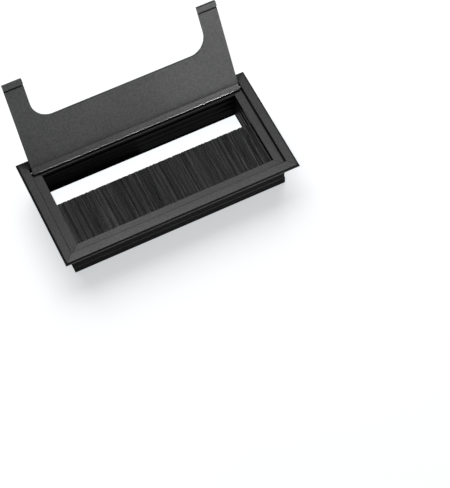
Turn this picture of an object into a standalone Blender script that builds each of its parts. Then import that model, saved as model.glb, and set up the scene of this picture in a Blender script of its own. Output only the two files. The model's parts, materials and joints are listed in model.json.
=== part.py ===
"""Desk grommet: a mitred aluminium frame, a notched lid on a hinge, and a brush strip.

The origin is in the middle of the front flange's underside, where it rests on the desk. X runs
along the object, Y from the brush side to the hinge side, and Z up. The lid is open, on its stop.
"""

import math

import bmesh
import bpy
from mathutils import Matrix, Vector

MM = 0.001  # every size below is in millimetres
ARC_FINENESS = 6.0  # straight pieces in a rounded corner of 1 mm radius

# The frame as a whole
FLANGE_LENGTH = 160.0
FLANGE_WIDTH = 80.0
BODY_DEPTH = 24.7  # below the desk's top
MITRE_GAP = 0.3  # between two frame lengths, square to the cut
FIT_GAP = 0.3  # between pieces that touch

# The extrusion's section: U is the distance outwards from the cable opening, Z the height
FLANGE_U = 12.5
RIM_HEIGHT = 1.7  # the flange above the desk's top
RIM_ROUND = 1.5
RECESS_U = 5.9
RECESS_DEPTH = 3.2
LEDGE_THICKNESS = 1.2
OUTER_U = 5.85
BAND_U = 5.5
BAND_TOP_Z = -18.4
RIDGE_U = 5.9
RIDGE_Z = -8.2
SHOULDER_U = 6.9
SHOULDER_RIDGE_U = 7.2
SHOULDER_Z = -3.5
RIDGE_HALF_HEIGHT = 0.9
EDGE_ROUND = 0.2
LAND_INNER_ROUND = 0.45

# The slot for the brush and the inner wall under it
SLOT_U = 4.6
SLOT_HEIGHT = 4.0
SLOT_LIP = 0.6
WALL_STEP_U = 1.0
RIB_TOP_Z = -11.7
RIB_BOTTOM_Z = -14.2
INNER_BAND_TOP_Z = -15.7
INNER_BAND_BOTTOM_Z = -22.2
BOTTOM_LIP = 0.5
GROOVE_DEPTH = 0.8
SCORE_DEPTH = 0.15
SCORE_HEIGHTS = (-17.9, -20.0)

# The hollow chamber and the corner keys in it
CHAMBER_U = (1.65, 4.55)
CHAMBER_Z = (-23.3, -8.1)
KEY_LEG = 22.0
KEY_ROUND = 0.4

# The lid, flat and closed, measured from its hinge axis
HINGE_FROM_CENTRE = 30.5
HINGE_Z = 0.25
LID_LENGTH = 62.2  # axis to tip
LID_HALF_WIDTH = 72.25
LID_THICKNESS = 2.0
BEAD_RADIUS = 1.45
COVE_ANGLE = math.radians(26)  # between the plate's underside and the slope up to the bead
COVE_ROUND = 3.5
COVE_SCORE_Y = -3.45
COVE_SCORE_DEPTH = 0.3
LIP_LENGTH = 3.4
LIP_HEIGHT = 1.0
RELIEF_WIDTH = 1.2  # of the groove at the lip's foot
RELIEF_DEPTH = 0.9
NOTCH_DEPTH = 29.7
NOTCH_ROUND = 12.0
NOTCH_CUT = 5.0  # the cutter's reach above and below the lid's axis
LEG_WIDTH = 12.85
OPEN_ANGLE = math.radians(122.5)  # from closed back to the stop

# Hinge pins
PIN_RADIUS = 0.6
PIN_IN_LID = 8.0
PIN_IN_FRAME = 0.6
HOLE_RADIUS = 0.66
HOLE_DEPTH = 0.75
ROUND_STEPS = 24
WIRE_STEPS = 12
SMOOTH_ANGLE = math.radians(32)
BORE_OVERSHOOT = 1.0

# The brush strip
BRUSH_HALF_LENGTH = 67.2
BRUSH_TIP_Y = 5.0  # from the middle of the opening
BRUSH_THICKNESS = 2.2
FOLD_ROUND = 1.0
CHANNEL_U = (0.9, 4.2)
CHANNEL_HEIGHT = 3.5
CHANNEL_WALL = 0.4
CORE_RADIUS = 0.4
CORE_HOLE_RADIUS = 0.5

LEDGE_Z = RIM_HEIGHT - RECESS_DEPTH
SLOT_TOP_Z = LEDGE_Z - LEDGE_THICKNESS
SLOT_BOTTOM_Z = SLOT_TOP_Z - SLOT_HEIGHT
BRUSH_Z = (SLOT_TOP_Z + SLOT_BOTTOM_Z) / 2
OPENING_HALF_X = FLANGE_LENGTH / 2 - FLANGE_U
OPENING_HALF_Y = FLANGE_WIDTH / 2 - FLANGE_U
SEAT_FROM_CENTRE = OPENING_HALF_Y + (SHOULDER_U + FLANGE_U) / 2


def clear_scene():
    for obj in list(bpy.data.objects):
        bpy.data.objects.remove(obj, do_unlink=True)


def finish_material(name, colour, roughness, metallic):
    material = bpy.data.materials.new(name)
    material.use_nodes = True
    shader = material.node_tree.nodes["Principled BSDF"]
    shader.inputs["Base Color"].default_value = (*colour, 1.0)
    shader.inputs["Roughness"].default_value = roughness
    shader.inputs["Metallic"].default_value = metallic
    return material


def rounded(corners):
    """The outline through corners (a, b, radius), with each radius drawn as an arc."""
    points = []
    count = len(corners)
    for i, (a, b, radius) in enumerate(corners):
        corner = Vector((a, b))
        if radius == 0:
            points.append(corner)
            continue
        to_last = (Vector(corners[i - 1][:2]) - corner).normalized()
        to_next = (Vector(corners[(i + 1) % count][:2]) - corner).normalized()
        half_angle = to_last.angle(to_next) / 2
        reach = radius / math.tan(half_angle)
        centre = corner + (to_last + to_next).normalized() * radius / math.sin(half_angle)
        first = corner + to_last * reach - centre
        last = corner + to_next * reach - centre
        turn = first.angle_signed(last)
        steps = max(3, math.ceil(ARC_FINENESS * math.sqrt(radius)))
        for step in range(steps + 1):
            arm = first.copy()
            arm.rotate(Matrix.Rotation(-turn * step / steps, 2))
            points.append(centre + arm)
    return without_repeats(points)


def without_repeats(points):
    """The closed outline with no point twice in a row."""
    nearest = 1e-4
    return [p for i, p in enumerate(points) if (p - points[i - 1]).length > nearest]


def circle(a, b, radius, steps=ROUND_STEPS):
    turns = (2 * math.pi * i / steps for i in range(steps))
    return [Vector((a + radius * math.cos(t), b + radius * math.sin(t))) for t in turns]


def rectangle(a_range, b_range, radius):
    (a0, a1), (b0, b1) = a_range, b_range
    return rounded([(a0, b0, radius), (a1, b0, radius), (a1, b1, radius), (a0, b1, radius)])


def solid(name, loops, place, material=None, parent=None):
    """A closed body between two ends. loops are its outline and then its holes; place(a, b, end)
    puts an outline point at end -1 or +1 and returns millimetres."""
    shape = bmesh.new()
    edges = []
    for loop in loops:
        ring = [shape.verts.new((a, b, 0.0)) for a, b in loop]
        edges += [shape.edges.new(pair) for pair in zip(ring, ring[1:] + ring[:1])]
    bmesh.ops.triangle_fill(shape, edges=edges, use_beauty=True)
    far = bmesh.ops.extrude_face_region(shape, geom=shape.faces[:])
    far_points = {item for item in far["geom"] if isinstance(item, bmesh.types.BMVert)}
    for vert in shape.verts:
        end = 1 if vert in far_points else -1
        vert.co = Vector(place(vert.co.x, vert.co.y, end)) * MM
    bmesh.ops.recalc_face_normals(shape, faces=shape.faces)
    mesh = bpy.data.meshes.new(name)
    shape.to_mesh(mesh)
    shape.free()
    mesh.shade_smooth()
    mesh.set_sharp_from_angle(angle=SMOOTH_ANGLE)
    obj = bpy.data.objects.new(name, mesh)
    bpy.context.collection.objects.link(obj)
    obj.parent = parent
    if material:
        mesh.materials.append(material)
    return obj


def empty(name, location, parent=None):
    obj = bpy.data.objects.new(name, None)
    bpy.context.collection.objects.link(obj)
    obj.location = Vector(location) * MM
    obj.parent = parent
    return obj


def cut(obj, cutter):
    """Takes the cutter's shape out of the object, as a modifier that stays."""
    cutter.hide_render = True
    cutter.display_type = "WIRE"
    boolean = obj.modifiers.new("cut_" + cutter.name, "BOOLEAN")
    boolean.operation = "DIFFERENCE"
    boolean.solver = "EXACT"
    boolean.object = cutter


def scored(z):
    """A fine V-shaped line scored in the inner wall at this height."""
    return [(0, z + SCORE_DEPTH, 0), (SCORE_DEPTH, z, 0), (0, z - SCORE_DEPTH, 0)]


def scored_line(y, z):
    """A deeper V-shaped line scored in the lid's underside."""
    return [(y - COVE_SCORE_DEPTH, z, 0), (y, z + COVE_SCORE_DEPTH, 0), (y + COVE_SCORE_DEPTH, z, 0)]


def frame_section():
    """The extrusion's outline, from the land on top, in over the ledge, down, and back up outside."""
    r = EDGE_ROUND
    top, bottom = RIM_HEIGHT, -BODY_DEPTH
    land = [(FLANGE_U, 0, 0), (FLANGE_U, top, RIM_ROUND), (RECESS_U, top, LAND_INNER_ROUND)]
    ledge = [(RECESS_U, LEDGE_Z, r), (0, LEDGE_Z, r)]
    slot = [
        (0, SLOT_TOP_Z - SLOT_LIP, r),
        (SLOT_LIP, SLOT_TOP_Z - SLOT_LIP, r),
        (SLOT_LIP, SLOT_TOP_Z, 0),
        (SLOT_U, SLOT_TOP_Z, 0),
        (SLOT_U, SLOT_BOTTOM_Z, 0),
        (SLOT_LIP, SLOT_BOTTOM_Z, 0),
        (SLOT_LIP, SLOT_BOTTOM_Z + SLOT_LIP, r),
        (0, SLOT_BOTTOM_Z + SLOT_LIP, r),
    ]
    wall = [
        (0, SLOT_BOTTOM_Z - 2 * SLOT_LIP, r),
        (WALL_STEP_U, SLOT_BOTTOM_Z - 2 * SLOT_LIP, r),
        (WALL_STEP_U, RIB_TOP_Z, r),
        (0, RIB_TOP_Z, r),
        (0, RIB_BOTTOM_Z, r),
        (GROOVE_DEPTH, RIB_BOTTOM_Z, r),
        (GROOVE_DEPTH, INNER_BAND_TOP_Z, r),
        (0, INNER_BAND_TOP_Z, r),
    ]
    for z in SCORE_HEIGHTS:
        wall += scored(z)
    wall += [
        (0, INNER_BAND_BOTTOM_Z, r),
        (GROOVE_DEPTH, INNER_BAND_BOTTOM_Z, r),
        (GROOVE_DEPTH, bottom + BOTTOM_LIP, r),
        (0, bottom + BOTTOM_LIP, 0),
    ]
    outside = [
        (0, bottom, 0),
        (OUTER_U, bottom, 2 * r),
        (OUTER_U, BAND_TOP_Z, r),
        (BAND_U, BAND_TOP_Z, 0),
        *ridge(BAND_U, RIDGE_U, RIDGE_Z, BAND_U),
        *ridge(BAND_U, SHOULDER_RIDGE_U, SHOULDER_Z, SHOULDER_U),
        (SHOULDER_U, 0, 0),
    ]
    return rounded(land + ledge + slot + wall + outside)


def ridge(base_u, crest_u, z, after_u):
    """A rounded ridge on the outer wall, going up, which ends at after_u."""
    low, high = z - RIDGE_HALF_HEIGHT, z + RIDGE_HALF_HEIGHT
    crest = min(EDGE_ROUND * 2, (crest_u - base_u) / 2)
    return [(base_u, low, 0), (crest_u, low, crest), (crest_u, high, crest / 2), (after_u, high, 0)]


def frame_length(name, side_angle, run_half, offset, material, parent):
    """One mitred length. Its own X is along the run, its Y outwards and its origin over the
    cable opening's edge."""
    chamber = rectangle(CHAMBER_U, CHAMBER_Z, EDGE_ROUND)
    back_off = MITRE_GAP / math.sqrt(2)

    def place(u, z, end):
        return end * (run_half + u - back_off), u, z

    obj = solid(name, [frame_section(), chamber], place, material, parent)
    obj.rotation_euler.z = side_angle
    obj.location = Vector((-math.sin(side_angle), math.cos(side_angle), 0)) * offset * MM
    return obj


def build_frame(parent):
    aluminium = finish_material("anodised_frame", (0.030, 0.031, 0.033), 0.42, 0.6)
    runs = {
        "frame_back": (0.0, OPENING_HALF_X, OPENING_HALF_Y),
        "frame_left": (math.pi / 2, OPENING_HALF_Y, OPENING_HALF_X),
        "frame_front": (math.pi, OPENING_HALF_X, OPENING_HALF_Y),
        "frame_right": (-math.pi / 2, OPENING_HALF_Y, OPENING_HALF_X),
    }
    lengths = {}
    for name, (angle, run_half, offset) in runs.items():
        lengths[name] = frame_length(name, angle, run_half, offset, aluminium, parent)
    for name, side in (("frame_left", -1), ("frame_right", 1)):
        wall_x = side * (OPENING_HALF_X + RECESS_U)
        hole = round_bar(
            f"{name}_hole", HOLE_RADIUS, wall_x - side * FIT_GAP, wall_x + side * HOLE_DEPTH, parent
        )
        hole.location = Vector((0, HINGE_FROM_CENTRE, HINGE_Z)) * MM
        cut(lengths[name], hole)


def round_bar(name, radius, x_from, x_to, parent, material=None):
    """A bar along X between two places."""
    low, high = sorted((x_from, x_to))
    ends = {-1: low, 1: high}
    return solid(name, [circle(0, 0, radius)], lambda y, z, end: (ends[end], y, z), material, parent)


def build_corner_keys(parent):
    """L-shaped keys, one in each corner, with a leg in each of the two chambers that meet there."""
    zinc = finish_material("corner_key_metal", (0.36, 0.36, 0.37), 0.45, 0.9)
    inner = CHAMBER_U[0] + FIT_GAP
    outer = CHAMBER_U[1] - FIT_GAP
    outline = [
        (outer, outer, KEY_ROUND),
        (outer - KEY_LEG, outer, KEY_ROUND),
        (outer - KEY_LEG, inner, KEY_ROUND),
        (inner, inner, KEY_ROUND),
        (inner, outer - KEY_LEG, KEY_ROUND),
        (outer, outer - KEY_LEG, KEY_ROUND),
    ]
    heights = {-1: CHAMBER_Z[0] + FIT_GAP, 1: CHAMBER_Z[1] - FIT_GAP}
    corners = {
        "corner_key_back_right": (1, 1, 0.0),
        "corner_key_back_left": (-1, 1, math.pi / 2),
        "corner_key_front_left": (-1, -1, math.pi),
        "corner_key_front_right": (1, -1, -math.pi / 2),
    }
    for name, (x_side, y_side, angle) in corners.items():
        key = solid(
            name, [rounded(outline)], lambda a, b, end: (a, b, heights[end]), zinc, parent
        )
        key.rotation_euler.z = angle
        key.location = Vector((x_side * OPENING_HALF_X, y_side * OPENING_HALF_Y, 0)) * MM


def lid_section():
    """The lid's section: Y towards the hinge, Z up, from the axis. Under its tip is a lip with a
    groove at its foot. The underside thickens to the hinge's bead in a cove, whose slope meets the
    round of the bead, with a line scored before it."""
    r = EDGE_ROUND
    top = BEAD_RADIUS
    under = top - LID_THICKNESS
    tip = -LID_LENGTH
    sine, cosine = math.sin(COVE_ANGLE), math.cos(COVE_ANGLE)
    slope_start_y = (-BEAD_RADIUS - under * cosine) / sine
    slope_end_z = -BEAD_RADIUS * (1 + sine) / cosine
    return rounded(
        [
            (BEAD_RADIUS, top, BEAD_RADIUS),
            (tip, top, 2 * r),
            (tip, under - LIP_HEIGHT, 2 * r),
            (tip + LIP_LENGTH, under - LIP_HEIGHT, r),
            (tip + LIP_LENGTH, under + RELIEF_DEPTH, r),
            (tip + LIP_LENGTH + RELIEF_WIDTH, under + RELIEF_DEPTH, r),
            (tip + LIP_LENGTH + RELIEF_WIDTH, under, r),
            *scored_line(COVE_SCORE_Y, under),
            (slope_start_y, under, COVE_ROUND),
            (BEAD_RADIUS, slope_end_z, BEAD_RADIUS),
        ]
    )


def build_lid(hinge):
    aluminium = finish_material("anodised_lid", (0.034, 0.035, 0.037), 0.40, 0.6)
    steel = finish_material("hinge_pin_steel", (0.45, 0.45, 0.46), 0.3, 1.0)
    lid = solid(
        "lid", [lid_section()], lambda y, z, end: (end * LID_HALF_WIDTH, y, z), aluminium, hinge
    )
    notch_half = LID_HALF_WIDTH - LEG_WIDTH
    notch_back = NOTCH_DEPTH - LID_LENGTH
    notch_front = -LID_LENGTH - NOTCH_ROUND
    outline = rounded(
        [
            (-notch_half, notch_back, NOTCH_ROUND),
            (-notch_half, notch_front, 0),
            (notch_half, notch_front, 0),
            (notch_half, notch_back, NOTCH_ROUND),
        ]
    )
    notch = solid("lid_notch", [outline], lambda x, y, end: (x, y, end * NOTCH_CUT), parent=hinge)
    cut(lid, notch)
    for name, side in (("left", -1), ("right", 1)):
        end_x = side * LID_HALF_WIDTH
        inside = end_x - side * PIN_IN_LID
        outside = side * (OPENING_HALF_X + RECESS_U + PIN_IN_FRAME)
        bore_end = inside - side * FIT_GAP
        bore_mouth = end_x + side * BORE_OVERSHOOT
        cut(lid, round_bar(f"lid_bore_{name}", HOLE_RADIUS, bore_end, bore_mouth, hinge))
        round_bar(f"hinge_pin_{name}", PIN_RADIUS, inside, outside, hinge, steel)


def build_brush(parent):
    """A strip brush: bristles folded round a wire and pinched in a metal channel."""
    steel = finish_material("brush_channel_steel", (0.40, 0.40, 0.41), 0.4, 1.0)
    nylon = finish_material("black_nylon", (0.012, 0.012, 0.013), 0.6, 0.0)
    edge_y = -OPENING_HALF_Y
    back_y, mouth_y = edge_y - CHANNEL_U[1], edge_y - CHANNEL_U[0]
    low, high = BRUSH_Z - CHANNEL_HEIGHT / 2, BRUSH_Z + CHANNEL_HEIGHT / 2
    wall = CHANNEL_WALL
    channel = [
        (mouth_y, low, 0),
        (mouth_y, low + wall, 0),
        (back_y + wall, low + wall, wall / 2),
        (back_y + wall, high - wall, wall / 2),
        (mouth_y, high - wall, 0),
        (mouth_y, high, 0),
        (back_y, high, wall),
        (back_y, low, wall),
    ]

    def along(y, z, end):
        return end * BRUSH_HALF_LENGTH, y, z

    solid("brush_channel", [rounded(channel)], along, steel, parent)
    half = BRUSH_THICKNESS / 2
    fold_y = back_y + wall + FIT_GAP / 2
    pack = [
        (fold_y, BRUSH_Z - half, FOLD_ROUND),
        (BRUSH_TIP_Y, BRUSH_Z - half, 0),
        (BRUSH_TIP_Y, BRUSH_Z + half, 0),
        (fold_y, BRUSH_Z + half, FOLD_ROUND),
    ]
    wire_y = fold_y + half
    hole = circle(wire_y, BRUSH_Z, CORE_HOLE_RADIUS, WIRE_STEPS)
    solid("brush_bristles", [rounded(pack), hole], along, nylon, parent)
    wire = circle(wire_y, BRUSH_Z, CORE_RADIUS, WIRE_STEPS)
    solid("brush_core_wire", [wire], along, steel, parent)


def main():
    clear_scene()
    grommet = empty("grommet", (0, SEAT_FROM_CENTRE, 0))
    build_frame(grommet)
    build_corner_keys(grommet)
    build_brush(grommet)
    hinge = empty("lid_hinge", (0, HINGE_FROM_CENTRE, HINGE_Z), grommet)
    hinge.rotation_euler.x = -OPEN_ANGLE
    build_lid(hinge)


main()
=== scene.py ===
"""Looks of the desk grommet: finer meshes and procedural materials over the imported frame.

Everything is in metres in the CAD's own frame: X along the grommet, Y from the brush side to the
hinge side, Z up from the desk's top. Places come from the CAD nodes' boxes and from the record's
openings. The camera and the lights are placed from the middle of the frame's top.
"""

import json
import math

import bmesh
import bpy
import numpy as np
from mathutils import Matrix, Vector

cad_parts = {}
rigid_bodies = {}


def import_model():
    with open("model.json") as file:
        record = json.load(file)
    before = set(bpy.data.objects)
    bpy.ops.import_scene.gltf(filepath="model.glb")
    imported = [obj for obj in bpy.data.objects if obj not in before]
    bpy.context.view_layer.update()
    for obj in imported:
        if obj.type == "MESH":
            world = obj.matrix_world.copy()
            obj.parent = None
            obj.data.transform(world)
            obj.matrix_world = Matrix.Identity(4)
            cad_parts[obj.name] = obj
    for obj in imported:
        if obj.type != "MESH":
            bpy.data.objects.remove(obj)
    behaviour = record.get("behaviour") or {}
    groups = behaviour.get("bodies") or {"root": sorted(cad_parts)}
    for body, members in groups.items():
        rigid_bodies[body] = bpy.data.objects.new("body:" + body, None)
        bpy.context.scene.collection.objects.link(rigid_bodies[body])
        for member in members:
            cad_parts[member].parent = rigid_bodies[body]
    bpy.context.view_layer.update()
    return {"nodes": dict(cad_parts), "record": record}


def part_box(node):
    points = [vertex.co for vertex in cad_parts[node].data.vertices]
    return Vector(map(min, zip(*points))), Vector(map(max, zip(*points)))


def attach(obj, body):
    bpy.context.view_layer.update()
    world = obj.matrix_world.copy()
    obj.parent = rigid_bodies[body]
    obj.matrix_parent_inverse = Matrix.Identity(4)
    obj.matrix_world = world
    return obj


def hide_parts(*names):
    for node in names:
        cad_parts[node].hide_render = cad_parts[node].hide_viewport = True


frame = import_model()

MM = 0.001
SIDES = ("front", "back", "left", "right")
FRAME_NODES = [f"frame_{side}" for side in SIDES]


# ---------------------------------------------------------------- places read from the CAD
FRAME_LOW = Vector([min(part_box(n)[0][i] for n in FRAME_NODES) for i in range(3)])
FRAME_HIGH = Vector([max(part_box(n)[1][i] for n in FRAME_NODES) for i in range(3)])
TOP_CENTRE = Vector(
    ((FRAME_LOW.x + FRAME_HIGH.x) / 2, (FRAME_LOW.y + FRAME_HIGH.y) / 2, FRAME_HIGH.z)
)
FLOOR_Z = FRAME_LOW.z


def opening(name):
    """The low and high corners of one of the record's openings."""
    boxes = {hole["name"]: hole["box_m"] for hole in frame["record"]["physics"]["openings"]}
    return boxes[name]


# ---------------------------------------------------------------- material building blocks
# ranges of a noise's values: most of them lie in the first, and fewer in the second
USUAL = (0.3, 0.7)
MIDDLE = (0.35, 0.65)


class Nodes:
    """A material's node tree, with one short method for each kind of node it uses."""

    def __init__(self, name):
        self.material = bpy.data.materials.new(name)
        self.material.use_nodes = True
        self.tree = self.material.node_tree
        self.shader = self.tree.nodes["Principled BSDF"]

    def add(self, kind, **inputs):
        node = self.tree.nodes.new(kind)
        for key, value in inputs.items():
            self.feed(node.inputs[key.replace("_", " ")], value)
        return node

    def feed(self, socket, value):
        if isinstance(value, bpy.types.NodeSocket):
            self.tree.links.new(value, socket)
        else:
            socket.default_value = value

    def place(self, stretch):
        """The piece's own coordinates in the row frame, each multiplied by its stretch."""
        coordinates = self.add("ShaderNodeTexCoord").outputs["Object"]
        mapping = self.add("ShaderNodeMapping", Vector=coordinates, Scale=stretch)
        return mapping.outputs["Vector"]

    def noise(self, stretch, detail=2.0, roughness=0.5):
        node = self.add(
            "ShaderNodeTexNoise",
            Vector=self.place(stretch),
            Scale=1.0,
            Detail=detail,
            Roughness=roughness,
        )
        return node.outputs["Fac"]

    def ramp(self, value, low, high, to_low, to_high):
        """value from low..high to to_low..to_high, held at both ends."""
        node = self.tree.nodes.new("ShaderNodeMapRange")
        node.clamp = True
        for key, given in (
            ("Value", value),
            ("From Min", low),
            ("From Max", high),
            ("To Min", to_low),
            ("To Max", to_high),
        ):
            self.feed(node.inputs[key], given)
        return node.outputs["Result"]

    def math(self, operation, a, b):
        node = self.tree.nodes.new("ShaderNodeMath")
        node.operation = operation
        self.feed(node.inputs[0], a)
        self.feed(node.inputs[1], b)
        return node.outputs["Value"]

    def attribute(self, name):
        node = self.tree.nodes.new("ShaderNodeAttribute")
        node.attribute_name = name
        return node.outputs["Fac"]

    def mix(self, share, first, second):
        node = self.tree.nodes.new("ShaderNodeMix")
        node.data_type = "RGBA"
        self.feed(node.inputs["Factor"], share)
        self.feed(node.inputs["A"], first)
        self.feed(node.inputs["B"], second)
        return node.outputs["Result"]

    def brighten(self, colour, by):
        """colour multiplied by a number."""
        node = self.tree.nodes.new("ShaderNodeVectorMath")
        node.operation = "SCALE"
        is_socket = isinstance(colour, bpy.types.NodeSocket)
        self.feed(node.inputs[0], colour if is_socket else colour[:3])
        self.feed(node.inputs["Scale"], by)
        return node.outputs["Vector"]

    def bump(self, height, distance, strength, under=None):
        node = self.add("ShaderNodeBump", Height=height, Distance=distance, Strength=strength)
        if under is not None:
            self.feed(node.inputs["Normal"], under)
        return node.outputs["Normal"]

    def surface(self, **inputs):
        for key, value in inputs.items():
            self.feed(self.shader.inputs[key.replace("_", " ")], value)
        return self.material


def grey(value):
    """A grey with a trace of blue."""
    return (value, value, value * 1.02, 1.0)


def along(axis, run, across):
    """A stretch for noise: run per metre along the axis, across per metre in the other two."""
    return tuple(run if i == axis else across for i in range(3))


RIM_PAINTED_SHADE = 0.3  # painted shade on the rim's outer round: the share of its colour and gloss that is kept
FOOT_HIGHLIGHT_TONE = 0.2  # painted highlight: the lighter grey of the rim's foot, where the bright floor is mirrored


def anodised(name, axis, tone, sheen, edge_tone, edge_sheen):
    """Bead-blasted, black anodised aluminium, with faint die lines along its axis, if it has one.
    The mesh's edge attribute marks its rounded edges, which take the edge tone; rim marks the outer round
    of the rim, darkened and dulled as painted shade; and foot marks the rim's foot, lightened in patches
    as a painted highlight."""
    n = Nodes(name)
    blast = n.noise((1900, 1900, 1900), detail=3.0, roughness=0.65)
    mottle = n.noise((620, 620, 620), detail=2.0)
    lines = n.noise((1100, 1100, 1100) if axis is None else along(axis, 6, 1500), 3.0, 0.65)
    cloud = n.noise((28, 28, 28), detail=2.0)
    shade = n.ramp(mottle, *USUAL, 0.88, 1.12)
    shade = n.math("MULTIPLY", shade, n.ramp(blast, *USUAL, 0.79, 1.21))
    shade = n.math("MULTIPLY", shade, n.ramp(lines, *USUAL, 0.9, 1.1))
    shade = n.math("MULTIPLY", shade, n.ramp(cloud, *USUAL, 0.93, 1.07))
    colour = n.brighten(grey(tone), shade)
    edge = n.math("MULTIPLY", n.attribute("edge"), n.ramp(cloud, *MIDDLE, 0.7, 1.0))
    colour = n.mix(edge, colour, grey(edge_tone))
    # painted shade: the rim's outer round is darkened and its gloss lowered
    rim = n.attribute("rim")
    colour = n.brighten(colour, n.ramp(rim, 0.0, 1.0, 1.0, RIM_PAINTED_SHADE))
    # painted highlight: patches of lighter grey along the rim's foot
    foot = n.math("MULTIPLY", n.attribute("foot"), n.ramp(cloud, *MIDDLE, 0.35, 0.75))
    colour = n.mix(foot, colour, grey(FOOT_HIGHLIGHT_TONE))
    gloss = n.math("MULTIPLY", shade, n.ramp(edge, 0.0, 1.0, sheen, edge_sheen))
    gloss = n.math("MULTIPLY", gloss, n.ramp(rim, 0.0, 1.0, 1.0, RIM_PAINTED_SHADE))
    roughness = n.ramp(lines, *USUAL, 0.33, 0.41)
    roughness = n.math("ADD", roughness, n.ramp(blast, *USUAL, -0.03, 0.03))
    normal = n.bump(blast, 0.00003, 0.55)
    normal = n.bump(lines, 0.00002, 0.35, normal)
    return n.surface(
        Base_Color=colour, Roughness=roughness, Metallic=0.0, Normal=normal, Specular_IOR_Level=gloss
    )


def sawn_aluminium(name):
    """The bare metal of a mitre cut, with the saw's fine parallel marks."""
    n = Nodes(name)
    marks = n.noise((900, 900, 5200), detail=3.0, roughness=0.7)
    smear = n.noise((160, 160, 160), detail=2.0)
    colour = n.mix(n.ramp(smear, *MIDDLE, 0.0, 1.0), grey(0.52), grey(0.68))
    roughness = n.ramp(marks, *USUAL, 0.28, 0.46)
    normal = n.bump(marks, 0.00004, 0.5)
    return n.surface(Base_Color=colour, Roughness=roughness, Metallic=1.0, Normal=normal)


def cast_metal(name):
    """The corner keys' rough die-cast skin."""
    n = Nodes(name)
    skin = n.noise((700, 700, 700), detail=4.0, roughness=0.65)
    stain = n.noise((90, 90, 90), detail=2.0)
    colour = n.mix(n.ramp(stain, *MIDDLE, 0.0, 1.0), grey(0.36), grey(0.50))
    roughness = n.ramp(skin, *USUAL, 0.42, 0.62)
    normal = n.bump(skin, 0.00008, 0.6)
    return n.surface(Base_Color=colour, Roughness=roughness, Metallic=1.0, Normal=normal)


def drawn_steel(name, run=12, across=4200, tone=0.5):
    """Bright steel drawn or rolled along X, with fine lines along it."""
    n = Nodes(name)
    lines = n.noise(along(0, run, across), detail=3.0, roughness=0.65)
    stain = n.noise((150, 150, 150), detail=2.0)
    colour = n.mix(n.ramp(stain, *MIDDLE, 0.0, 1.0), grey(tone), grey(tone * 1.24))
    roughness = n.ramp(lines, *USUAL, 0.24, 0.40)
    normal = n.bump(lines, 0.00001, 0.5)
    return n.surface(Base_Color=colour, Roughness=roughness, Metallic=1.0, Normal=normal)


def nylon(name):
    """Black nylon filaments. The mesh's tone attribute makes each a little different, as painted highlight
    streaks where strands and tufts catch the light alike.
    """
    n = Nodes(name)
    tone = n.attribute("tone")
    dust = n.noise((900, 120, 900), detail=3.0, roughness=0.6)
    shade = n.math("MULTIPLY", tone, n.ramp(dust, 0.3, 0.75, 0.85, 1.2))
    colour = n.brighten(grey(0.03), shade)
    roughness = n.ramp(dust, *USUAL, 0.34, 0.5)
    sheen = n.math("MULTIPLY", shade, 0.5)
    return n.surface(Base_Color=colour, Roughness=roughness, Metallic=0.0, Specular_IOR_Level=sheen)


# ---------------------------------------------------------------- finer copies of CAD nodes
MERGE = 2e-6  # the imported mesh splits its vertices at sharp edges
FLAT = math.radians(0.5)
CREASE = math.radians(38)
NARROW = 0.12 * MM  # a face narrower than this is the round of an edge
MITRE_CLOSING = 0.17 * MM
FOOT_FROM = -0.05 * MM  # the rim's foot, painted lighter as a highlight, up from the desk's top
FOOT_TO = 0.65 * MM
RIM_ROUND_WIDTH = 0.9 * MM  # in from the rim's outer edge


def is_mitre(normal):
    """True for a face on a mitre's 45 degree plane."""
    return abs(normal.z) < 0.05 and abs(abs(normal.x) - abs(normal.y)) < 0.05


def is_lid_side(normal):
    """True for a face on the open lid's outline: its two ends, its tips and its notch, which are darkened
    as painted shade.
    """
    return abs(normal.x) > 0.7 or (normal.z > 0.7 and normal.y > 0.3)


def is_rim_foot(face):
    """True for the lowest part of the rim's round, which is painted lighter as a highlight."""
    low, high = min(v.co.z for v in face.verts), max(v.co.z for v in face.verts)
    return low > FOOT_FROM and high < FOOT_TO and abs(face.normal.z) < 0.4


def is_rim_round(face):
    """True for the steeper part of the rim's outer round, which is darkened and dulled as painted shade.
    """
    middle = face.calc_center_median()
    insets = [middle[i] - FRAME_LOW[i] for i in (0, 1)] + [FRAME_HIGH[i] - middle[i] for i in (0, 1)]
    return FOOT_TO < middle.z < FRAME_HIGH.z and 0 < min(insets) < RIM_ROUND_WIDTH


def close_mitres(shape, is_cut):
    """Lengthens the piece at its mitres, so that a hairline is left of the CAD's gap."""
    cut_faces = [f for f in shape.faces if is_cut(f.normal)]
    low = Vector(min(v.co[i] for v in shape.verts) for i in range(3))
    high = Vector(max(v.co[i] for v in shape.verts) for i in range(3))
    axis = 0 if high.x - low.x > high.y - low.y else 1
    middle = (low[axis] + high[axis]) / 2
    for vert in {v for f in cut_faces for v in f.verts}:
        vert.co[axis] += math.copysign(MITRE_CLOSING, vert.co[axis] - middle)


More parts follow.
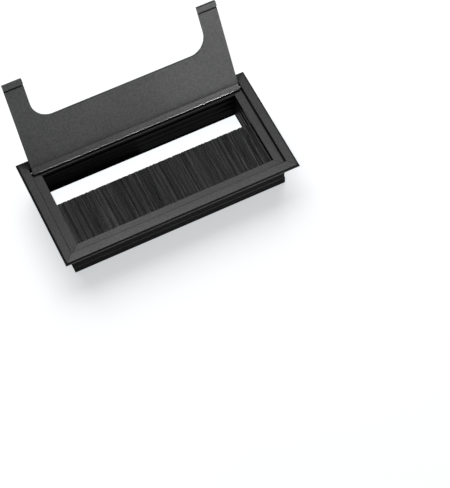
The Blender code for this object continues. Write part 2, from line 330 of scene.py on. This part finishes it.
def finer_copy(node, name, body, materials, edge_round=0.1 * MM, is_cut=None, is_edge=None):
    """A new piece in a CAD node's exact place, with its creases rounded. materials is one
    material, or two where the mitre cuts are bare metal and take the second. is_cut tells which
    faces are mitre cuts, and is_edge which others look like rounded edges, by their normal."""
    shape = bmesh.new()
    shape.from_mesh(frame["nodes"][node].data)
    bmesh.ops.remove_doubles(shape, verts=shape.verts, dist=MERGE)
    bmesh.ops.dissolve_limit(
        shape, angle_limit=FLAT, verts=shape.verts, edges=shape.edges, use_dissolve_boundaries=False
    )
    if is_cut:
        close_mitres(shape, is_cut)
    creases = [e for e in shape.edges if e.is_manifold and e.calc_face_angle() > CREASE]
    rounds = bmesh.ops.bevel(
        shape, geom=creases, offset=edge_round, segments=2, profile=0.5, affect="EDGES", clamp_overlap=True
    )
    new_faces = set(rounds["faces"])
    bmesh.ops.recalc_face_normals(shape, faces=shape.faces)
    edge = shape.faces.layers.float.new("edge")
    foot = shape.faces.layers.float.new("foot")
    rim = shape.faces.layers.float.new("rim")
    for face in shape.faces:
        face.smooth = True
        around = sum(e.calc_length() for e in face.edges)
        narrow = 2 * face.calc_area() < NARROW * around
        face[edge] = 1.0 if narrow or face in new_faces or (is_edge and is_edge(face.normal)) else 0.0
        face[foot] = 1.0 if is_rim_foot(face) else 0.0
        face[rim] = 1.0 if is_rim_round(face) else 0.0
        if is_cut and not narrow and is_cut(face.normal):
            face.material_index = 1
    mesh = bpy.data.meshes.new(name)
    shape.to_mesh(mesh)
    shape.free()
    piece = bpy.data.objects.new(name, mesh)
    bpy.context.scene.collection.objects.link(piece)
    for material in materials:
        mesh.materials.append(material)
    even = piece.modifiers.new("even_flats", "WEIGHTED_NORMAL")
    even.weight = 100
    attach(piece, body)
    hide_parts(node)
    return piece


def build_frame():
    """The four frame lengths in the same anodising, each length's tone and gloss set apart as painted
    light and shade.
    """
    bare = sawn_aluminium("sawn_aluminium")
    # painted light and shade: the back is darkest and the front lightest, for how the light falls on each
    # length; the front's lighter edges are a painted highlight, and the right's dark, dull edges are
    # painted shade
    black = {
        "front": anodised("anodised_front", 0, 0.026, 0.36, 0.05, 0.36),
        "back": anodised("anodised_back", 0, 0.013, 0.2, 0.02, 0.2),
        "left": anodised("anodised_left", 1, 0.018, 0.25, 0.04, 0.25),
        "right": anodised("anodised_right", 1, 0.022, 0.34, 0.012, 0.12),
    }
    for side in SIDES:
        finer_copy(
            f"frame_{side}",
            f"profile_{side}",
            "frame",
            [black[side], bare],
            is_cut=is_mitre,
        )


def build_hidden_parts():
    """The corner keys in the chambers, and the brush's channel and wire in their slot."""
    cast = cast_metal("cast_metal")
    for corner in ("front_left", "front_right", "back_left", "back_right"):
        node = f"corner_key_{corner}"
        finer_copy(node, f"key_{corner}", "frame", [cast], edge_round=0.25 * MM)
    steel = drawn_steel("rolled_steel")
    finer_copy("brush_channel", "brush_strip_channel", "frame", [steel], 0.06 * MM)
    finer_copy("brush_core_wire", "brush_strip_wire", "frame", [steel], 0.06 * MM)


def build_lid():
    """The lid, with its outlines darkened as painted shade, and its two pins."""
    # painted shade: the lid's rounded outline is near black and barely glossy
    lid_black = anodised("anodised_lid", None, 0.044, 0.44, 0.004, 0.04)
    finer_copy(
        "lid", "lid_plate", "lid", [lid_black], edge_round=0.3 * MM, is_edge=is_lid_side
    )
    pin_steel = drawn_steel("pin_steel", run=30, across=6000, tone=0.16)
    for side in ("left", "right"):
        node = f"hinge_pin_{side}"
        finer_copy(node, f"pin_{side}", "lid", [pin_steel], edge_round=0.12 * MM)


# ---------------------------------------------------------------- the brush
FILAMENT_PITCH = 0.2 * MM
FILAMENT_SIDES = 4
STRAND = 2  # filaments side by side that catch the light alike
STRAND_CONTRAST = 0.42
SEED = 7
WILD_SHARE = 0.04  # of the filaments, which lean out of their tuft
LEG_SHARES = (0.08, 0.45, 0.985, 1.0)  # of the way from the wire to the tips
FOLD_TURNS = (90, 30, -30, -90)
# each layer of the folded pack, from the wire outwards: its legs' distance from the pack's
# middle, its fold's radius, its filaments' radius, and how far they stray into tufts
LAYERS = (
    (0.25 * MM, 0.52 * MM, 0.15 * MM, 0.0),
    (0.62 * MM, 0.74 * MM, 0.10 * MM, 0.6),
    (0.96 * MM, 0.96 * MM, 0.10 * MM, 1.0),
)


def tufts_between(rng, low, high):
    """Where filaments cling together: each tuft's middle, lean, pull, lift, shortness and tone."""
    edges = [low]
    while edges[-1] < high:
        edges.append(edges[-1] + rng.uniform(0.4, 1.5) * MM)
    count = len(edges) - 1
    return {
        "edges": np.array(edges),
        "middle": (np.array(edges[:-1]) + np.array(edges[1:])) / 2,
        "lean": rng.normal(0, math.radians(0.8), count),
        "pull": rng.uniform(0.0, 0.2, count),
        "lift": rng.normal(0, 0.07, count) * MM,
        "short": rng.uniform(0, 0.12, count) * MM,
        "tone": rng.uniform(0.8, 1.25, count),
    }


def folded_layer(rng, tufts, layer, first, last, low, high, wire):
    """One layer's centre lines, from the upper tips round the wire to the lower tips, and tones."""
    leg_z, fold_radius, radius, stray = layer
    x = np.arange(first, last, FILAMENT_PITCH)
    x = np.clip(x + rng.normal(0, 0.03 * stray, len(x)) * MM, first, last)
    tuft = np.clip(np.searchsorted(tufts["edges"], x) - 1, 0, len(tufts["middle"]) - 1)
    strands = np.repeat(rng.lognormal(0, STRAND_CONTRAST, len(x)), STRAND)[: len(x)]
    tones = tufts["tone"][tuft] * strands
    legs = []
    for side in (1, -1):
        wild = np.where(rng.random(len(x)) < WILD_SHARE, rng.normal(0, math.radians(2.5), len(x)), 0)
        lean = tufts["lean"][tuft] + rng.normal(0, math.radians(0.3), len(x)) + wild
        pull = (tufts["middle"][tuft] - x) * tufts["pull"][tuft]
        tip_y = high.y - tufts["short"][tuft] - np.abs(rng.normal(0, 0.05, len(x))) * MM
        leg = []
        for share in LEG_SHARES:
            y = wire.y + (tip_y - wire.y) * share
            across = x + stray * (np.tan(lean) * (y - wire.y) + pull * share**1.5)
            z = wire.z + side * leg_z + tufts["lift"][tuft] * stray * share
            z = np.clip(z, low.z + radius, high.z - radius)
            leg.append(np.stack([np.clip(across, first, last), y, z], axis=1))
        legs.append(leg)
    fold = []
    for turn in FOLD_TURNS:
        y = np.full(len(x), wire.y - fold_radius * math.cos(math.radians(turn)))
        z = np.full(len(x), wire.z + fold_radius * math.sin(math.radians(turn)))
        fold.append(np.stack([x, y, z], axis=1))
    return np.stack(legs[0][::-1] + fold + legs[1], axis=1), tones


def tubes(lines, radius, sides):
    """Closed tubes round many centre lines at once: vertices, quads with end caps, and which
    quads are smooth, which is all but the caps."""
    count, points, _ = lines.shape
    forward = np.gradient(lines, axis=1)
    forward /= np.linalg.norm(forward, axis=2, keepdims=True)
    across = np.cross(forward, (1.0, 0.0, 0.0))
    across /= np.linalg.norm(across, axis=2, keepdims=True)
    third = np.cross(forward, across)
    turns = [2 * math.pi * (i + 0.5) / sides for i in range(sides)]
    rings = [lines + radius * (math.cos(t) * across + math.sin(t) * third) for t in turns]
    verts = np.stack(rings, axis=2).reshape(-1, 3)
    ring = np.arange(sides)
    here = np.arange(points - 1)[:, None] * sides + ring
    right = np.arange(points - 1)[:, None] * sides + np.roll(ring, -1)
    quads = np.stack([here, here + sides, right + sides, right], axis=2).reshape(-1, 4)
    caps = np.array([ring, (points - 1) * sides + ring[::-1]])
    one = np.concatenate([quads, caps])
    starts = np.arange(count)[:, None, None] * points * sides
    smooth = np.tile(np.arange(len(one)) < len(quads), count)
    return verts, (one[None] + starts).reshape(-1, 4), smooth


def build_bristles():
    """The nylon pack: layers of filaments folded round the wire, in one mesh."""
    rng = np.random.default_rng(SEED)
    low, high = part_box("brush_bristles")
    wire_low, wire_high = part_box("brush_core_wire")
    wire = (wire_low + wire_high) / 2
    tufts = tufts_between(rng, low.x, high.x)
    verts, quads, smooth, tones, count = [], [], [], [], 0
    for number, layer in enumerate(LAYERS):
        radius = layer[2]
        first = low.x + radius + number * FILAMENT_PITCH / 3
        last = high.x - radius
        lines, layer_tones = folded_layer(rng, tufts, layer, first, last, low, high, wire)
        layer_verts, layer_quads, layer_smooth = tubes(lines, radius, FILAMENT_SIDES)
        verts.append(layer_verts)
        smooth.append(layer_smooth)
        quads.append(layer_quads + count)
        tones.append(np.repeat(layer_tones, len(layer_verts) // len(lines)))
        count += len(layer_verts)
    verts, quads, tones = np.concatenate(verts), np.concatenate(quads), np.concatenate(tones)
    mesh = bpy.data.meshes.new("bristles")
    mesh.from_pydata(verts.tolist(), [], quads.tolist())
    mesh.polygons.foreach_set("use_smooth", np.concatenate(smooth))
    tone = mesh.attributes.new("tone", "FLOAT", "POINT")
    tone.data.foreach_set("value", tones.astype(np.float32))
    mesh.materials.append(nylon("black_nylon"))
    piece = bpy.data.objects.new("bristles", mesh)
    bpy.context.scene.collection.objects.link(piece)
    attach(piece, "frame")
    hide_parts("brush_bristles")


# ---------------------------------------------------------------- camera, floor and light
AZIMUTH = math.radians(-24.72)
ELEVATION = math.radians(60.99)
ROLL = math.radians(-1.68)
DISTANCE = 1.0427
ASIDE = 0.0424  # how far the camera's axis passes to the right of the grommet
BELOW = 0.0496  # and below it
LENS = 122.6
SENSOR = 36
CLIP_END = 20

# The ground
VISIBLE_HALF = 14.0  # half the white floor's width
MIRRORED_HALF = 4.0  # half the width of the bright sheet that the sides mirror
INSIDE_MARGIN = 1 * MM  # of the sheet inside the frame, past the openings' boxes
SHADE_REACH = 38 * MM  # of the dark sheet, past the flange
WHITE = 0.9  # how much light the white sheets return, and the dark one
SHADE = 0.1
FLOOR_GLOW = 0.54
# painted light: the floor inside the frame glows brighter than the rest
INSIDE_GLOW = 0.95
SHEEN_GLOW = 1.3
GROUND_ROUGHNESS = 0.9
GROUND_GLOSS = 0.1
GLOW_COLOUR = (0.96, 0.985, 1.0, 1)

# The light
SKY_COLOUR = (0.96, 0.98, 1.0, 1)
SKY_STRENGTH = 0.16
# each soft box: its azimuth and elevation in degrees, distance, width, height, power, and what it
# falls on
SOFT_BOXES = {
    "shadow_maker": (168, 52, 1.6, 1.9, 1.7, 21, "floors"),
    "key": (157, 70, 1.6, 0.8, 0.45, 11, "grommet"),
    "front": (30, 20, 1.2, 0.5, 0.5, 4, "grommet"),
    "lid_light": (80, 13, 0.32, 0.14, 0.14, 0.27, "lid"),
    "bead_light": (38, 44, 0.34, 0.18, 0.18, 0.38, "lid"),
}
# each glow up the cable gap: its power, where along the gap it starts, and what it falls on
WELL_GLOWS = {
    "bead_glow": (0.25, 0.0, "lid"),
    "bead_end_glow": (0.22, 0.92, "lid"),
    "end_glow": (0.003, 0.0, "right_end"),
    "wall_glow": (0.0005, 0.5, "back_wall"),
}


def build_camera():
    """The photograph's camera, up and to the left of the brush side, aimed past the grommet."""
    back = Vector(
        (
            math.sin(AZIMUTH) * math.cos(ELEVATION),
            -math.cos(AZIMUTH) * math.cos(ELEVATION),
            math.sin(ELEVATION),
        )
    )
    level = Vector((math.cos(AZIMUTH), math.sin(AZIMUTH), 0))
    upright = back.cross(level)
    right = level * math.cos(ROLL) + upright * math.sin(ROLL)
    up = upright * math.cos(ROLL) - level * math.sin(ROLL)
    data = bpy.data.cameras.new("camera")
    data.lens = LENS
    data.sensor_width = SENSOR
    data.clip_end = CLIP_END
    camera = bpy.data.objects.new("camera", data)
    bpy.context.scene.collection.objects.link(camera)
    place = TOP_CENTRE + back * DISTANCE + right * ASIDE - up * BELOW
    turn = Matrix((right, up, back)).transposed().to_4x4()
    camera.matrix_world = Matrix.Translation(place) @ turn
    bpy.context.scene.camera = camera


def white_ground(name, glow):
    """Faintly uneven white paper that glows by itself."""
    n = Nodes(name)
    cloud = n.noise((9, 9, 9), detail=2.0)
    colour = n.brighten(grey(WHITE), n.ramp(cloud, *USUAL, 0.98, 1.0))
    return n.surface(
        Base_Color=colour,
        Roughness=GROUND_ROUGHNESS,
        Specular_IOR_Level=GROUND_GLOSS,
        Emission_Color=GLOW_COLOUR,
        Emission_Strength=glow,
    )


def dark_ground(name):
    n = Nodes(name)
    return n.surface(
        Base_Color=grey(SHADE), Roughness=GROUND_ROUGHNESS, Specular_IOR_Level=GROUND_GLOSS
    )


def ground_sheet(name, low, high, z, material):
    """A level rectangle between two corners."""
    corners = [(low[0], low[1]), (high[0], low[1]), (high[0], high[1]), (low[0], high[1])]
    mesh = bpy.data.meshes.new(name)
    mesh.from_pydata([(x, y, z) for x, y in corners], [], [(0, 1, 2, 3)])
    mesh.materials.append(material)
    sheet = bpy.data.objects.new(name, mesh)
    bpy.context.scene.collection.objects.link(sheet)
    return sheet


def build_floor():
    """A white floor, and a brighter sheet on it inside the frame, which light nothing; the brighter sheet
    is painted light where the frame's walls would shade the floor. Below them are two sheets that the
    camera does not see: a dark one near the grommet, which stands in for the shaded floor, and a bright
    one farther out, which its sides mirror."""
    floor = ground_sheet(
        "floor",
        (-VISIBLE_HALF, -VISIBLE_HALF),
        (VISIBLE_HALF, VISIBLE_HALF),
        FLOOR_Z,
        white_ground("white_floor", FLOOR_GLOW),
    )
    low, high = opening("well_under_brush")[0], opening("cable_gap")[1]
    inside = ground_sheet(
        "floor_inside",
        (low[0] - INSIDE_MARGIN, low[1] - INSIDE_MARGIN),
        (high[0] + INSIDE_MARGIN, high[1] + INSIDE_MARGIN),
        FLOOR_Z + 0.1 * MM,
        white_ground("white_floor_inside", INSIDE_GLOW),
    )
    near_low = (FRAME_LOW.x - SHADE_REACH, FRAME_LOW.y - SHADE_REACH)
    near_high = (FRAME_HIGH.x + SHADE_REACH, FRAME_HIGH.y + SHADE_REACH)
    far_low = (-MIRRORED_HALF, -MIRRORED_HALF)
    far_high = (MIRRORED_HALF, MIRRORED_HALF)
    shade, sheen = dark_ground("floor_shade"), white_ground("floor_sheen", SHEEN_GLOW)
    mirrored = (
        ground_sheet("floor_near", near_low, near_high, FLOOR_Z - 1 * MM, shade),
        ground_sheet("floor_far", far_low, far_high, FLOOR_Z - 2 * MM, sheen),
    )
    for sheet in mirrored:
        sheet.visible_camera = False
    for sheet in (floor, inside):
        sheet.visible_diffuse = False
        sheet.visible_glossy = False


def area_light(name, width, height, power):
    data = bpy.data.lights.new(name, "AREA")
    data.shape = "RECTANGLE"
    data.size = width
    data.size_y = height
    data.energy = power
    light = bpy.data.objects.new(name, data)
    bpy.context.scene.collection.objects.link(light)
    return light


def soft_box(name, azimuth, elevation, distance, width, height, power):
    """An area light that faces the grommet. Azimuth 0 is the brush side, 90 the right end."""
    a, e = math.radians(azimuth), math.radians(elevation)
    towards = Vector((math.sin(a) * math.cos(e), -math.cos(a) * math.cos(e), math.sin(e)))
    light = area_light(name, width, height, power)
    light.location = TOP_CENTRE + towards * distance
    light.rotation_euler = towards.to_track_quat("Z", "Y").to_euler()
    return light


def well_light(name, power, start):
    """The white ground's glow up through the cable gap, mirrored by what stands round it. It
    starts this share of the way along the gap."""
    low, high = (Vector(corner) for corner in opening("cable_gap"))
    low.x += start * (high.x - low.x)
    light = area_light(name, high.x - low.x, high.y - low.y, power)
    light.location = ((low.x + high.x) / 2, (low.y + high.y) / 2, FLOOR_Z + 1 * MM)
    light.rotation_euler = (math.pi, 0, 0)
    light.visible_camera = False
    return light


def light_only(light, objects):
    """Lets a light fall on these objects only."""
    lit = bpy.data.collections.new(f"lit_by_{light.name}")
    for obj in objects:
        lit.objects.link(obj)
    light.light_linking.receiver_collection = lit


def build_light():
    """A dim sky, and lights that each fall on one group of objects."""
    world = bpy.data.worlds.new("studio")
    bpy.context.scene.world = world
    world.use_nodes = True
    background = world.node_tree.nodes["Background"]
    background.inputs["Color"].default_value = SKY_COLOUR
    background.inputs["Strength"].default_value = SKY_STRENGTH
    objects = list(bpy.context.scene.objects)
    floors = [o for o in objects if o.name.startswith("floor")]
    grommet = [o for o in objects if o.type == "MESH" and o not in floors]
    groups = {
        "floors": floors,
        "grommet": grommet,
        "lid": [o for o in objects if o.name.startswith(("lid_plate", "pin_"))],
        "right_end": [o for o in grommet if o.name == "profile_right"],
        "back_wall": [o for o in grommet if o.name == "profile_back"],
    }
    for name, (*settings, group) in SOFT_BOXES.items():
        light_only(soft_box(name, *settings), groups[group])
    for name, (power, start, group) in WELL_GLOWS.items():
        light_only(well_light(name, power, start), groups[group])
    bpy.context.scene.view_settings.view_transform = "Standard"


build_frame()
build_hidden_parts()
build_lid()
build_bristles()
build_camera()
build_floor()
build_light()
